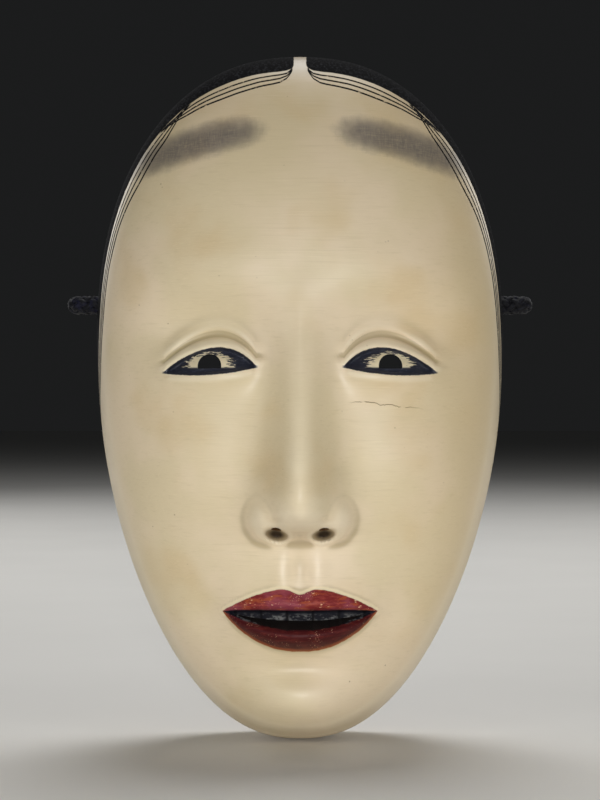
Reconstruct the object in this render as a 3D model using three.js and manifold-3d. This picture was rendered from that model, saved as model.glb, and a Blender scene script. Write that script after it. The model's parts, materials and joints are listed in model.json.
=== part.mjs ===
// A noh mask of the young-woman type: a shell carved from one block of cypress, three pads that
// hold it off the wearer's face, and two braided cords hitched round its edge and tied in a bow.
// Millimetres. X runs across the face, Y points from the face to its back, Z is up.
// The origin is the middle of the rim's flat band at the chin, on the plane the rim rests on.
// Inside this file the mask is drawn about its own mid-height, and the group lifts it into place.
import * as THREE from "three";
import { mergeVertices } from "three/addons/utils/BufferGeometryUtils.js";
import Module from "manifold-3d";

const wasm = await Module();
wasm.setup();

// ---- driving dimensions ----
const HALF_HEIGHT = 106; // 7 sun tall
const HALF_WIDTH = 62.5;
const SIDE_WALL = 12; // straight part of the wall, from the rim plane forward
const DOME = 40; // how far the face swells in front of the straight wall
const RIM_WIDTH = 7.5; // flat band that the mask rests on
const HOLLOW_WALL = 7; // straight part of the hollow
const HOLLOW_DOME = 38.5;
const EDGE_RELIEF = 1.2; // the rim is carved back at ear level, so it rests on crown and chin
const RELIEF_HALF_SPAN = 46;

const ANGLES = 96; // facets round the mask, closer together towards the eyes and the mouth
const FACE_RINGS = 38;
const HOLLOW_RINGS = 12;
const NOSE_Z = -14; // the rings of facets are centred here
const CUT_DEPTH = 90; // cuts along Y start well in front of the face

const EYE_X = 26.5;
const EYE_Z = 8;
const PUPIL_Z = EYE_Z + 1;
const PUPIL_R = 3.5;
const PUPIL_SILL = 0.8; // the flat foot of the pupil hole, below the middle of its arch
const EYE_WALL = 4; // thickness left round a pupil hole before it opens out
const EYE_FLARE_FRONT_R = 5; // the pupil holes open out behind, so the wearer sees through them
const EYE_FLARE_BACK_R = 15;
const EYE_FLARE_Z = EYE_Z + 2;
const EYE_FLARE_BACK_Y = -15;
const MOUTH_Z = -64.5;
const MOUTH_HALF_WIDTH = 23;
const SLIT_HALF_WIDTH = 19;
const SLIT_CORNER_DROP = 0.4; // below the middle of the mouth, at the slit's corners
const SLIT_TOP_DROP = 1.9; // the slit's two edges bow towards these heights
const SLIT_BOTTOM_DROP = 6.2;
const SLIT_RISE = 0.2; // the slit slopes up towards the back, so light isn't seen through it
const NOSTRIL_X = 6.9;
const NOSTRIL_Z = -40.2;
const NOSTRIL_R = 1.5;
const NOSTRIL_FRONT_Y = -72; // the cut for a nostril starts in front of the nose
const NOSTRIL_RUN = 42;
const NOSTRIL_RISE = 16; // the nostrils slope upwards from front to back

const CORD_R = 2.9;
const CORD_SIDES = 8;
const CORD_HOLE_R = 3.5;
const CORD_HOLE_OUT_X = 74.5; // the cord holes are cut from outside the wall into the hollow
const CORD_HOLE_IN_X = 44.5;
const HOLE_Y = -8;
const HOLE_Z = 29; // the cord holes sit at ear level, a little above the eyes
const CORD_BEHIND = 2.6; // the hitch passes this far behind the rim plane
const HITCH_OUT = 70.8;
const HITCH_IN = 51;
const HITCH_CORNER = 3.1;
const KNOT = new THREE.Vector3(0, 6, 62);
const KNOT_HALF_LENGTH = 11.6; // four turns of cord
const KNOT_R = 6.5;
const CLEARANCE = 0.6; // between pieces of cord that turn against each other
const SPAN_BENDS = [[36, 4, 37], [22, 5.4, 53]]; // the right-hand span, on its way up to the knot
const TAIL_X = 3.4; // the tails hang close together under the knot and part towards their ends
const TAIL_END_X = 5.8;
const TAIL_END_Z = -58;
const TAIL_PARTING_Z = 15; // where a tail starts to swing outwards
const TAIL_APART_Z = -28;
const TASSEL_LENGTH = 22;
const TASSEL_NECK_LENGTH = 4;
const TASSEL_NECK_R = 2.4;
const TASSEL_SKIRT_R = 4.2;
const TASSEL_SKIRT_START = 0.7; // share of its length where the skirt is fully spread
const WHIPPING_LENGTH = 8;
const EYE_WHIPPING_LENGTH = 4;
const WHIPPING_WALL = 0.6;
const WHIPPING_GAP = 0.3;

const PAD_GAP = 0.4;
const PAD_EDGE = 0.3; // share of a pad's thickness left where its sheets are sewn together
const FOREHEAD_PAD = { x: 0, z: 66, halfX: 25, halfZ: 11, thickness: 8 };
const CHEEK_PAD = { x: 27, z: -44, halfX: 12, halfZ: 12, thickness: 7 };

// Middle line of the right-hand bow loop, from the top of the knot's shoulder round and back to it.
// It stays outside the sweep of the tails.
const BOW_LOOP = [
  [8.6, 13, 65.5], [13, 15, 66.5], [21, 16, 60], [25.5, 16, 45],
  [22.5, 16, 33.5], [17.5, 16, 37], [14, 15.5, 49], [12.2, 14.2, 56.5], [8.6, 13, 58.5],
];

// Soft swellings and hollows of the face. Those off the middle stand on both sides.
const FORMS = [
  { of: "forehead", height: 1.5, x: 0, z: 52, wide: 48, tall: 34 },
  { of: "eye socket", height: -4.6, x: 26, z: 20, wide: 18, tall: 10 },
  { of: "brow ridge", height: 1.6, x: 29, z: 38, wide: 23, tall: 12 },
  { of: "inner corner of the eye", height: -1.6, x: 10, z: 9, wide: 6, tall: 10 },
  { of: "eyeball", height: 3.8, x: EYE_X, z: EYE_Z + 1, wide: 13.5, tall: 8 },
  { of: "cheek", height: 4, x: 34, z: -20, wide: 17, tall: 22 },
  { of: "muzzle", height: 6.4, x: 0, z: -62, wide: 27, tall: 21 },
  { of: "fold under the lower lip", height: -3.2, x: 0, z: -80.5, wide: 15, tall: 5.5 },
  { of: "chin", height: 11, x: 0, z: -92, wide: 20, tall: 13 },
];
const UPPER_LIP = { height: 2.9, z: MOUTH_Z + 4.6, tall: 3.6 };
const LOWER_LIP = { height: 3.6, z: MOUTH_Z - 6.6, tall: 3.6 };
const NOSE_WING = { height: 8.6, x: 9.8, z: -34.5, wide: 7, tall: 8.2 };
const NOSE_HOLLOW = { height: 8, x: 0, z: -26, wide: 12, tall: 20 }; // the hollow behind the nose

// ---- shape helpers ----
const bell = (u, v = 0) => Math.exp(-(u * u + v * v));
const swelling = (form, x, z) =>
  form.height * bell((Math.abs(x) - form.x) / form.wide, (z - form.z) / form.tall);
const clamp01 = (t) => Math.min(1, Math.max(0, t));
const smoothstep = (from, to, x) => {
  const t = clamp01((x - from) / (to - from));
  return t * t * (3 - 2 * t);
};
const smoothMax = (a, b, k) => {
  const h = Math.max(k - Math.abs(a - b), 0) / k;
  return Math.max(a, b) + (h * h * k) / 4;
};

// Monotone cubic through [x, y] points in ascending x.
function through(points) {
  const step = points.slice(1).map((p, i) => p[0] - points[i][0]);
  const slope = points.slice(1).map((p, i) => (p[1] - points[i][1]) / step[i]);
  const tangent = points.map((p, i) => {
    if (i === 0 || i === points.length - 1 || slope[i - 1] * slope[i] <= 0) return 0;
    const before = 2 * step[i] + step[i - 1];
    const after = step[i] + 2 * step[i - 1];
    return (before + after) / (before / slope[i - 1] + after / slope[i]);
  });
  return (x) => {
    const last = points.length - 1;
    const at = Math.min(points[last][0], Math.max(points[0][0], x));
    let i = 0;
    while (i < last - 1 && at > points[i + 1][0]) i++;
    const t = (at - points[i][0]) / step[i];
    const r = 1 - t;
    return (
      (1 + 2 * t) * r * r * points[i][1] +
      t * r * r * step[i] * tangent[i] +
      t * t * (3 - 2 * t) * points[i + 1][1] -
      t * t * r * step[i] * tangent[i + 1]
    );
  };
}

// ---- the mask's form ----
// 0 at the middle of the face, 1 on its outline: an egg, wide at the temples and narrow at the chin.
function spread(x, z) {
  const q = z / HALF_HEIGHT;
  const width = HALF_WIDTH * (1 + 0.115 * q - 0.075 * q * q - 0.03 * q * q * q);
  return Math.abs(x / width) ** 2.3 + Math.max(q, 0) ** 2.5 + Math.max(-q, 0) ** 2.05;
}

function dome(x, z) {
  const rest = clamp01(1 - spread(x, z));
  return DOME * rest ** (0.44 + 0.08 * Math.tanh((2 * z) / HALF_HEIGHT));
}

const ridgeHeight = through([
  [-50, 0], [-44, 0.6], [-40.5, 4.5], [-37, 10.5], [-33, 13.6], [-29, 14.3],
  [-22, 13.2], [-8, 9], [8, 4.6], [24, 1.6], [40, 0],
]);
const ridgeWidth = through([
  [-50, 10], [-40, 9.5], [-31, 10.6], [-20, 9], [-5, 8.2], [12, 8.8], [40, 14],
]);

function nose(x, z) {
  const ridge = ridgeHeight(z);
  const wide = ridgeWidth(z);
  const bridge = ridge * bell(x / wide) + 0.28 * ridge * bell(x / (2.1 * wide));
  const outward = (Math.abs(x) - NOSE_WING.x) / NOSE_WING.wide;
  const upward = (z - NOSE_WING.z) / NOSE_WING.tall;
  const wing = NOSE_WING.height * (1 - outward ** 2 - upward ** 2);
  return smoothMax(bridge, wing, 4);
}

// The lips thin out towards the corners of the mouth.
function lips(x, z) {
  const fall = 1 - clamp01(Math.abs(x) / MOUTH_HALF_WIDTH) ** 2.4;
  const lip = ({ height, z: middle, tall }) => height * fall * bell((z - middle) / tall);
  return lip(UPPER_LIP) + lip(LOWER_LIP);
}

// Everything that stands on the dome, as heights.
function features(x, z) {
  const soft = FORMS.reduce((sum, form) => sum + swelling(form, x, z), 0);
  return soft + nose(x, z) + lips(x, z);
}

const frontY = (x, z) =>
  -(SIDE_WALL + dome(x, z) + features(x, z) * smoothstep(1, 0.86, spread(x, z)));

// The hollow behind follows the outline, one rim width in, and is scooped out behind the nose.
const HOLLOW_X = (HALF_WIDTH - RIM_WIDTH) / HALF_WIDTH;
const HOLLOW_Z = (HALF_HEIGHT - RIM_WIDTH) / HALF_HEIGHT;

function hollowY(x, z) {
  const rest = clamp01(1 - spread(x / HOLLOW_X, z / HOLLOW_Z));
  return -(HOLLOW_WALL + HOLLOW_DOME * Math.sqrt(rest) + swelling(NOSE_HOLLOW, x, z));
}

const rimY = (z) => -EDGE_RELIEF * smoothstep(RELIEF_HALF_SPAN, RELIEF_HALF_SPAN - 14, Math.abs(z));

// Distance from the rings' centre to the outline, in direction (dx, dz), by bisection.
function reach(dx, dz, scaleX, scaleZ) {
  let near = 0;
  let far = 2 * HALF_HEIGHT;
  for (let i = 0; i < 50; i++) {
    const r = (near + far) / 2;
    if (spread((r * dx) / scaleX, (NOSE_Z + r * dz) / scaleZ) < 1) near = r;
    else far = r;
  }
  return near;
}

// count + 1 values from start to end, closer together where density is higher.
function spaced(count, density, start, end) {
  const samples = 2000;
  const at = (i) => start + ((end - start) * i) / samples;
  const total = [0];
  for (let i = 1; i <= samples; i++) total.push(total[i - 1] + density(at(i - 0.5)));
  const values = [];
  for (let i = 0, k = 0; k <= count; k++) {
    const wanted = (total[samples] * k) / count;
    while (i < samples - 1 && total[i + 1] < wanted) i++;
    values.push(at(i + (wanted - total[i]) / (total[i + 1] - total[i])));
  }
  return values;
}

// Rows of points from the centre to the outline and on over the rim, as one closed skin.
function maskBlank() {
  const rows = [];
  const facing = (a) =>
    1 +
    0.9 * bell((Math.abs(a - Math.PI / 2) - 0.85) / 0.35) +
    0.9 * (bell((a - 1.5 * Math.PI) / 0.5) + bell((a + 0.5 * Math.PI) / 0.5));
  const directions = spaced(ANGLES, facing, -Math.PI / 2, 1.5 * Math.PI)
    .slice(0, -1)
    .map((a) => ({ dx: Math.cos(a), dz: Math.sin(a) }));
  const outer = directions.map(({ dx, dz }) => reach(dx, dz, 1, 1));
  const inner = directions.map(({ dx, dz }) => reach(dx, dz, HOLLOW_X, HOLLOW_Z));
  const row = (lengths, share, height) =>
    directions.map(({ dx, dz }, i) => {
      const x = lengths[i] * share * dx;
      const z = NOSE_Z + lengths[i] * share * dz;
      return [x, height(x, z), z];
    });
  const ringShare = (j, rings) => Math.sin((Math.PI / 2) * (j / rings) ** 0.92);

  for (let j = 1; j <= FACE_RINGS; j++) rows.push(row(outer, ringShare(j, FACE_RINGS), frontY));
  rows.push(row(outer, 1, (x, z) => rimY(z)));
  rows.push(row(inner, 1, (x, z) => rimY(z)));
  for (let j = HOLLOW_RINGS; j >= 1; j--) rows.push(row(inner, ringShare(j, HOLLOW_RINGS), hollowY));

  const positions = rows.flat(2);
  const first = positions.length / 3;
  positions.push(0, frontY(0, NOSE_Z), NOSE_Z, 0, hollowY(0, NOSE_Z), NOSE_Z);
  const faces = [];
  const at = (j, i) => j * ANGLES + (i % ANGLES);
  for (let i = 0; i < ANGLES; i++) {
    faces.push(first, at(0, i), at(0, i + 1));
    for (let j = 0; j < rows.length - 1; j++) {
      faces.push(at(j, i), at(j + 1, i), at(j + 1, i + 1));
      faces.push(at(j, i), at(j + 1, i + 1), at(j, i + 1));
    }
    faces.push(at(rows.length - 1, i), first + 1, at(rows.length - 1, i + 1));
  }
  const skin = new THREE.BufferGeometry();
  skin.setAttribute("position", new THREE.Float32BufferAttribute(positions, 3));
  skin.setIndex(faces);
  return skin;
}

// ---- solids for cutting ----
function solid(geometry) {
  const bare = geometry.clone();
  bare.deleteAttribute("normal");
  bare.deleteAttribute("uv");
  const merged = mergeVertices(bare, 1e-4);
  return new wasm.Manifold(
    new wasm.Mesh({
      numProp: 3,
      vertProperties: merged.attributes.position.array,
      triVerts: new Uint32Array(merged.index.array),
    }),
  );
}

function geometryOf(manifold) {
  const mesh = manifold.getMesh();
  const count = mesh.vertProperties.length / mesh.numProp;
  const positions = new Float32Array(count * 3);
  for (let i = 0; i < count; i++) {
    positions.set(mesh.vertProperties.subarray(i * mesh.numProp, i * mesh.numProp + 3), i * 3);
  }
  const geometry = new THREE.BufferGeometry();
  geometry.setAttribute("position", new THREE.BufferAttribute(positions, 3));
  geometry.setIndex(new THREE.BufferAttribute(mesh.triVerts, 1));
  geometry.computeVertexNormals();
  return geometry;
}

// A round plug between two points, widening from one radius to the other.
function plug(from, to, fromR, toR, sides = 20) {
  const along = to.clone().sub(from);
  const geometry = new THREE.CylinderGeometry(toR, fromR, along.length(), sides);
  const turn = new THREE.Quaternion().setFromUnitVectors(new THREE.Vector3(0, 1, 0), along.normalize());
  geometry.applyQuaternion(turn);
  geometry.translate(...from.clone().add(to).multiplyScalar(0.5).toArray());
  return solid(geometry);
}

const point = (x, y, z) => new THREE.Vector3(x, y, z);

// An arched hole with a flat foot, run along Y from well in front of the eye.
function pupil(side) {
  const arch = new THREE.Shape();
  arch.moveTo(-PUPIL_R, -PUPIL_SILL);
  arch.lineTo(PUPIL_R, -PUPIL_SILL);
  arch.absarc(0, 0, PUPIL_R, 0, Math.PI);
  arch.closePath();
  const run = { depth: CUT_DEPTH, bevelEnabled: false, curveSegments: 14 };
  const cut = new THREE.ExtrudeGeometry(arch, run);
  cut.rotateX(Math.PI / 2); // the drawing's Y becomes Z, and the run goes to -Y
  cut.translate(side * EYE_X, 0, PUPIL_Z);
  return solid(cut);
}

// The gap between the teeth and the lower lip: a long lens, drawn in X and Z and run back along Y.
function mouthSlit() {
  const lens = new THREE.Shape();
  const cornerZ = MOUTH_Z - SLIT_CORNER_DROP;
  lens.moveTo(-SLIT_HALF_WIDTH, cornerZ);
  lens.quadraticCurveTo(0, MOUTH_Z - SLIT_TOP_DROP, SLIT_HALF_WIDTH, cornerZ);
  lens.quadraticCurveTo(0, MOUTH_Z - SLIT_BOTTOM_DROP, -SLIT_HALF_WIDTH, cornerZ);
  const run = { depth: CUT_DEPTH, bevelEnabled: false, curveSegments: 12 };
  const cut = new THREE.ExtrudeGeometry(lens, run);
  cut.rotateX(Math.PI / 2);
  const place = cut.attributes.position;
  for (let i = 0; i < place.count; i++) {
    const behindLips = place.getY(i) - frontY(place.getX(i), MOUTH_Z);
    place.setZ(i, place.getZ(i) + SLIT_RISE * behindLips);
  }
  return solid(cut);
}

function maskShell() {
  let shell = solid(maskBlank());
  for (const side of [-1, 1]) {
    const thinWall = point(side * EYE_X, frontY(EYE_X, EYE_Z) + EYE_WALL, EYE_FLARE_Z);
    const eyeBack = point(side * EYE_X, EYE_FLARE_BACK_Y, EYE_FLARE_Z);
    shell = shell.subtract(pupil(side));
    shell = shell.subtract(plug(thinWall, eyeBack, EYE_FLARE_FRONT_R, EYE_FLARE_BACK_R));

    const nostrilFront = point(side * NOSTRIL_X, NOSTRIL_FRONT_Y, NOSTRIL_Z - NOSTRIL_RISE / 4);
    const nostrilBack = nostrilFront.clone().add(point(0, NOSTRIL_RUN, NOSTRIL_RISE));
    shell = shell.subtract(plug(nostrilFront, nostrilBack, NOSTRIL_R, NOSTRIL_R, 12));

    const holeOut = point(side * CORD_HOLE_OUT_X, HOLE_Y, HOLE_Z);
    const holeIn = point(side * CORD_HOLE_IN_X, HOLE_Y, HOLE_Z);
    shell = shell.subtract(plug(holeOut, holeIn, CORD_HOLE_R, CORD_HOLE_R));
  }
  return geometryOf(shell.subtract(mouthSlit()));
}

// ---- pads ----
// A pillow that follows the hollow, with its edges pinched thin. Half sizes in X and Z.
function pad(cx, { z: cz, halfX, halfZ, thickness }, steps = 8) {
  const positions = [];
  const faces = [];
  const side = steps + 1;
  for (const top of [0, 1]) {
    for (let j = 0; j <= steps; j++) {
      for (let i = 0; i <= steps; i++) {
        const u = (2 * i) / steps - 1;
        const v = (2 * j) / steps - 1;
        const x = cx + halfX * u * Math.sqrt(1 - (v * v) / 3);
        const z = cz + halfZ * v * Math.sqrt(1 - (u * u) / 3);
        const crown = PAD_EDGE + (1 - PAD_EDGE) * ((1 - u ** 4) * (1 - v ** 4)) ** 0.5;
        positions.push(x, hollowY(x, z) + PAD_GAP + top * thickness * crown, z);
      }
    }
  }
  const at = (top, j, i) => top * side * side + j * side + i;
  const quad = (a, b, c, d) => faces.push(a, b, c, a, c, d);
  for (let j = 0; j < steps; j++) {
    for (let i = 0; i < steps; i++) {
      quad(at(0, j, i), at(0, j, i + 1), at(0, j + 1, i + 1), at(0, j + 1, i));
      quad(at(1, j, i), at(1, j + 1, i), at(1, j + 1, i + 1), at(1, j, i + 1));
    }
    quad(at(0, 0, j), at(1, 0, j), at(1, 0, j + 1), at(0, 0, j + 1));
    quad(at(0, steps, j + 1), at(1, steps, j + 1), at(1, steps, j), at(0, steps, j));
    quad(at(0, j + 1, 0), at(1, j + 1, 0), at(1, j, 0), at(0, j, 0));
    quad(at(0, j, steps), at(1, j, steps), at(1, j + 1, steps), at(0, j + 1, steps));
  }
  const geometry = new THREE.BufferGeometry();
  geometry.setAttribute("position", new THREE.Float32BufferAttribute(positions, 3));
  geometry.setIndex(faces);
  geometry.computeVertexNormals();
  return geometry;
}

// ---- cords ----
function roundSection(r, sides = CORD_SIDES) {
  const section = new THREE.Shape();
  for (let i = 0; i < sides; i++) {
    const a = (2 * Math.PI * i) / sides;
    if (i === 0) section.moveTo(r, 0);
    else section.lineTo(r * Math.cos(a), r * Math.sin(a));
  }
  section.closePath();
  return section;
}

function cord(points, steps) {
  const path = new THREE.CatmullRomCurve3(points);
  return new THREE.ExtrudeGeometry(roundSection(CORD_R), { steps, extrudePath: path });
}

// The cord's turn through its hole and round the edge of the shell, closed by its sewn eye.
function hitch(side) {
  const turn = new THREE.Path();
  turn.absarc(HITCH_OUT - HITCH_CORNER, HOLE_Y + HITCH_CORNER, HITCH_CORNER, -Math.PI / 2, 0);
  turn.absarc(HITCH_OUT - HITCH_CORNER, CORD_BEHIND - HITCH_CORNER, HITCH_CORNER, 0, Math.PI / 2);
  turn.absarc(HITCH_IN + HITCH_CORNER, CORD_BEHIND - HITCH_CORNER, HITCH_CORNER, Math.PI / 2, Math.PI);
  turn.absarc(HITCH_IN + HITCH_CORNER, HOLE_Y + HITCH_CORNER, HITCH_CORNER, Math.PI, 1.5 * Math.PI);
  turn.closePath();
  const loop = turn.getSpacedPoints(48).slice(0, -1).map((p) => point(side * p.x, p.y, HOLE_Z));
  const path = new THREE.CatmullRomCurve3(loop, true, "centripetal");
  return new THREE.TubeGeometry(path, 40, CORD_R, CORD_SIDES, true);
}

// A band of thread: a ring with a round bore, on the Z axis.
function whipping(length) {
  const inner = CORD_R + WHIPPING_GAP;
  const outer = inner + WHIPPING_WALL;
  const profile = [[inner, 0], [outer, 0], [outer, length], [inner, length], [inner, 0]];
  return new THREE.LatheGeometry(profile.map(([r, h]) => new THREE.Vector2(r, h)), 16);
}

function tassel() {
  const end = -TASSEL_LENGTH;
  const profile = [
    [0, end], [TASSEL_SKIRT_R, end], [TASSEL_SKIRT_R, TASSEL_SKIRT_START * end],
    [TASSEL_NECK_R, -TASSEL_NECK_LENGTH], [TASSEL_NECK_R, 0], [0, 0],
  ];
  return new THREE.LatheGeometry(profile.map(([r, h]) => new THREE.Vector2(r, h)), 14);
}

function span(side) {
  const start = HITCH_IN - CORD_R - CLEARANCE;
  const end = KNOT_HALF_LENGTH + CLEARANCE;
  return cord(
    [
      point(side * start, CORD_BEHIND, HOLE_Z),
      point(side * (start - 5), CORD_BEHIND, HOLE_Z + 0.4),
      ...SPAN_BENDS.map(([x, y, z]) => point(side * x, y, z)),
      point(side * (end + 4), KNOT.y, KNOT.z - 0.6),
      point(side * end, KNOT.y, KNOT.z),
    ],
    22,
  );
}

function bowLoop(side) {
  return cord(BOW_LOOP.map(([x, y, z]) => point(side * x, y, z)), 32);
}

function knot() {
  const ball = new THREE.SphereGeometry(1, 18, 12);
  ball.rotateZ(Math.PI / 2);
  ball.scale(KNOT_HALF_LENGTH, KNOT_R, KNOT_R);
  ball.translate(...KNOT.toArray());
  return ball;
}

function tail(side) {
  const top = KNOT.z - KNOT_R - CLEARANCE;
  return cord(
    [
      point(side * TAIL_X, KNOT.y, top),
      point(side * (TAIL_X + 0.4), KNOT.y, TAIL_PARTING_Z),
      point(side * TAIL_END_X, KNOT.y, TAIL_APART_Z),
      point(side * TAIL_END_X, KNOT.y, TAIL_END_Z),
    ],
    12,
  );
}

// ---- assembly ----
const finish = (color, roughness) => new THREE.MeshStandardMaterial({ color, roughness, metalness: 0 });
const paintedWood = finish(0xd9c8a2, 0.5);
const padCloth = finish(0xe6dcc4, 0.95);
const cordSilk = finish(0x14141a, 0.7);
const thread = finish(0x1d1c26, 0.6);

const mask = new THREE.Group();
mask.position.z = HALF_HEIGHT - RIM_WIDTH / 2;

function add(name, geometry, material) {
  const mesh = new THREE.Mesh(geometry, material);
  mesh.name = name;
  mask.add(mesh);
  return mesh;
}

add("mask_shell", maskShell(), paintedWood);
add("forehead_pad", pad(FOREHEAD_PAD.x, FOREHEAD_PAD), padCloth);
for (const [side, name] of [[-1, "left"], [1, "right"]]) {
  add(`${name}_cheek_pad`, pad(side * CHEEK_PAD.x, CHEEK_PAD), padCloth);
  add(`${name}_cord_hitch`, hitch(side), cordSilk);
  const eyeBand = add(`${name}_eye_whipping`, whipping(EYE_WHIPPING_LENGTH), thread);
  const eyeY = (HOLE_Y + CORD_BEHIND - EYE_WHIPPING_LENGTH) / 2;
  eyeBand.position.set(side * HITCH_IN, eyeY, HOLE_Z);
  add(`${name}_cord_span`, span(side), cordSilk);
  add(`${name}_bow_loop`, bowLoop(side), cordSilk);
  add(`${name}_cord_tail`, tail(side), cordSilk);
  const endBand = add(`${name}_tail_whipping`, whipping(WHIPPING_LENGTH), thread);
  endBand.rotation.x = Math.PI / 2;
  endBand.position.set(side * TAIL_END_X, KNOT.y, TAIL_END_Z - WHIPPING_LENGTH / 2);
  const fringe = add(`${name}_tassel`, tassel(), cordSilk);
  fringe.rotation.x = Math.PI / 2;
  fringe.position.set(side * TAIL_END_X, KNOT.y, TAIL_END_Z - WHIPPING_GAP);
}
add("bow_knot", knot(), cordSilk);

export default mask;
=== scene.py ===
"""The noh mask's looks, around the CAD frame: a carved and painted shell, cloth pads and braided cords."""

import json
import math

import bpy
import numpy as np
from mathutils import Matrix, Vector


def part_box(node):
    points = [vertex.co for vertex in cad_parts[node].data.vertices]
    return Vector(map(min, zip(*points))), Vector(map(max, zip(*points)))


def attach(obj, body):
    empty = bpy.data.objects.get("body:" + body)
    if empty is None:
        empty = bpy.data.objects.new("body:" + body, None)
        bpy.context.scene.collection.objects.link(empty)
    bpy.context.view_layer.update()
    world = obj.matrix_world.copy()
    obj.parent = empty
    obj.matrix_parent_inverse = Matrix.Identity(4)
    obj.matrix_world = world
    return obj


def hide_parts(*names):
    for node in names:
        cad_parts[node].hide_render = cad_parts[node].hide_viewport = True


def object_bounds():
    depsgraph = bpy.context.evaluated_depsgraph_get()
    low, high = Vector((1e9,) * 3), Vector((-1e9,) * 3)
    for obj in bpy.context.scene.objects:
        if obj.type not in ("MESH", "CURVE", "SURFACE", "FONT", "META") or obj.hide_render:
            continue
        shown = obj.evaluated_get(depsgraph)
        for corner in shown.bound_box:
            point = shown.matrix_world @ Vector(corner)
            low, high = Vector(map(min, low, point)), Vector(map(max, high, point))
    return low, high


random = np.random.default_rng(7)
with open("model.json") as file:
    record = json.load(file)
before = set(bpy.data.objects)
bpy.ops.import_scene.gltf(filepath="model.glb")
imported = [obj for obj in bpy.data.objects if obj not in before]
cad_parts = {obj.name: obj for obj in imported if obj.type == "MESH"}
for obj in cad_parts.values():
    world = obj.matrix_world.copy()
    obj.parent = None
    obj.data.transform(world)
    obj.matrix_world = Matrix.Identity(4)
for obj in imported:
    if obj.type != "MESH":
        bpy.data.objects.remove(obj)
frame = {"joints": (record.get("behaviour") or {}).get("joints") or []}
cad_low, cad_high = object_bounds()

# ---- the shell's own measure: the face formulas use units of 1/212 of its height, about its middle ----
SHELL_LOW, SHELL_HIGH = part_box("mask_shell")
UNIT = (SHELL_HIGH.z - SHELL_LOW.z) / 212
UNIT_MM = UNIT * 1000
MIDDLE_Z = (SHELL_HIGH.z + SHELL_LOW.z) / 2


def box(node):
    """A CAD node's low and high corners, as arrays."""
    low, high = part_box(node)
    return np.array(low), np.array(high)


def centre_and_half(node):
    low, high = box(node)
    return (low + high) / 2, (high - low) / 2


HITCH_CENTRE, HITCH_HALF = centre_and_half("left_cord_hitch")
CORD_R = HITCH_HALF[2]
KNOT_HALF = box("bow_knot")[1][0]

HALF_HEIGHT, HALF_WIDTH = 106.0, 62.5
SIDE_WALL, DOME = 12.0, 40.0
RIM_WIDTH, HOLLOW_WALL, HOLLOW_DOME = 7.5, 7.0, 38.5
EDGE_RELIEF, RELIEF_HALF_SPAN = 1.2, 46.0
CENTRE_Z = -14.0

EYE_IN, EYE_OUT, EYE_Z = 13.0, 40.0, 8.0
EYE_X = (EYE_IN + EYE_OUT) / 2
MOUTH_Z, MOUTH_HALF_WIDTH = -64.5, 23.0
NOSTRIL_X, NOSTRIL_Z = 6.9, -40.2
TOOTH_WIDTH = 7.6


def bell(u, v=0.0):
    return np.exp(-(u * u + v * v))


def smoothstep(start, end, x):
    t = np.clip((x - start) / (end - start), 0.0, 1.0)
    return t * t * (3 - 2 * t)


def smooth_max(a, b, k):
    h = np.maximum(k - np.abs(a - b), 0.0) / k
    return np.maximum(a, b) + h * h * k / 4


def through(points, x):
    """Monotone cubic through (x, y) points in ascending x."""
    px, py = np.array(points, float).T
    step = np.diff(px)
    slope = np.diff(py) / step
    tangent = np.zeros(len(px))
    for i in range(1, len(px) - 1):
        if slope[i - 1] * slope[i] > 0:
            before, after = 2 * step[i] + step[i - 1], step[i] + 2 * step[i - 1]
            tangent[i] = (before + after) / (before / slope[i - 1] + after / slope[i])
    x = np.clip(x, px[0], px[-1])
    i = np.clip(np.searchsorted(px, x) - 1, 0, len(step) - 1)
    t = (x - px[i]) / step[i]
    r = 1 - t
    return ((1 + 2 * t) * r * r * py[i] + t * r * r * step[i] * tangent[i]
            + t * t * (3 - 2 * t) * py[i + 1] - t * t * r * step[i] * tangent[i + 1])


# ---- the face ----
def spread(x, z):
    """0 at the middle of the face, 1 on its outline."""
    q = z / HALF_HEIGHT
    width = HALF_WIDTH * (1 + 0.115 * q - 0.075 * q**2 - 0.03 * q**3)
    return np.abs(x / width) ** 2.3 + np.maximum(q, 0) ** 2.5 + np.maximum(-q, 0) ** 2.05


def dome(x, z):
    rest = np.clip(1 - spread(x, z), 0, 1)
    return DOME * rest ** (0.44 + 0.08 * np.tanh(2 * z / HALF_HEIGHT))


# Soft swellings and hollows: height, x, z, half width, half height. Those off the middle are on both sides.
FORMS = {
    "forehead": (1.5, 0, 52, 48, 34),
    "eye socket": (-4.6, 26, 20, 18, 10),
    "brow ridge": (1.6, 29, 38, 23, 12),
    "inner corner of the eye": (-1.6, 10, 9, 6, 10),
    "eyeball": (3.8, EYE_X, EYE_Z + 1, 13.5, 8),
    "cheek": (4.0, 34, -20, 17, 22),
    "muzzle": (6.4, 0, -62, 27, 21),
    "fold under the lower lip": (-3.2, 0, -80.5, 15, 5.5),
    "chin": (11, 0, -92, 20, 13),
    "corner of the mouth": (-1.6, 26, -64, 6.5, 7),
    "groove under the nose": (-1.0, 0, -51, 3.2, 5.5),
    "ridge beside the groove": (0.4, 5.4, -52, 2.8, 5.5),
}
NOSE_HOLLOW = (8, 0, -26, 12, 20)  # the hollow behind the nose
NOSE_WING = (8.6, 9.8, -34.5, 7.0, 8.2)
# The ridge of the nose, as (z, value).
RIDGE_HEIGHT = [(-50, 0), (-44, 0.6), (-40.5, 4.5), (-37, 10.5), (-33, 13.6), (-29, 14.3), (-22, 13.2),
                (-8, 9), (8, 4.6), (24, 1.6), (40, 0)]
RIDGE_WIDTH = [(-50, 10), (-40, 9.5), (-31, 10.6), (-20, 9), (-5, 8.2), (12, 8.8), (40, 14)]


def swelling(form, x, z):
    height, middle_x, middle_z, wide, tall = form
    return height * bell((np.abs(x) - middle_x) / wide, (z - middle_z) / tall)


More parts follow.
